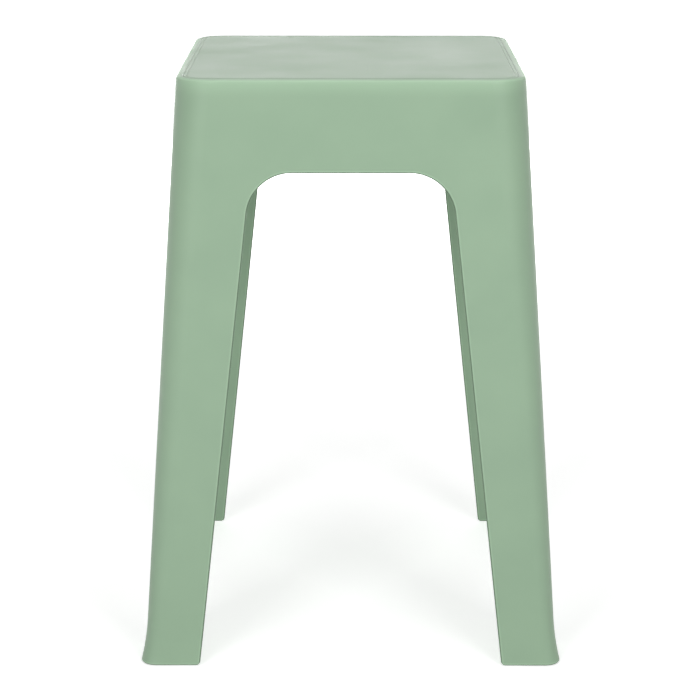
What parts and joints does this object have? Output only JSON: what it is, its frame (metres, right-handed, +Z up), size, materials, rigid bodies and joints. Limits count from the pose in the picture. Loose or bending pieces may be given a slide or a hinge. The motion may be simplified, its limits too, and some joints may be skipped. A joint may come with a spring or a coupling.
{
  "type": "stacking stool",
  "caption": "Square stacking stool moulded in plastic, with an arch in each side, splayed L-section legs, flared feet and push-in foot pads.",
  "frame": {"origin": "centre of the square that the feet stand in, on the floor", "axes": "+Z up; the front faces -Y; +X to the right seen from the front"},
  "size_m": [0.3322, 0.3322, 0.46],
  "materials": {
    "moulded_polypropylene": "fine satin, sage green",
    "soft_pad": "matt grey thermoplastic rubber"
  },
  "bodies": {
    "root": {"stool_body": "moulded_polypropylene", "foot_pad_front_left": "soft_pad", "foot_pad_front_right": "soft_pad", "foot_pad_rear_left": "soft_pad", "foot_pad_rear_right": "soft_pad"}
  },
  "joints": []
}
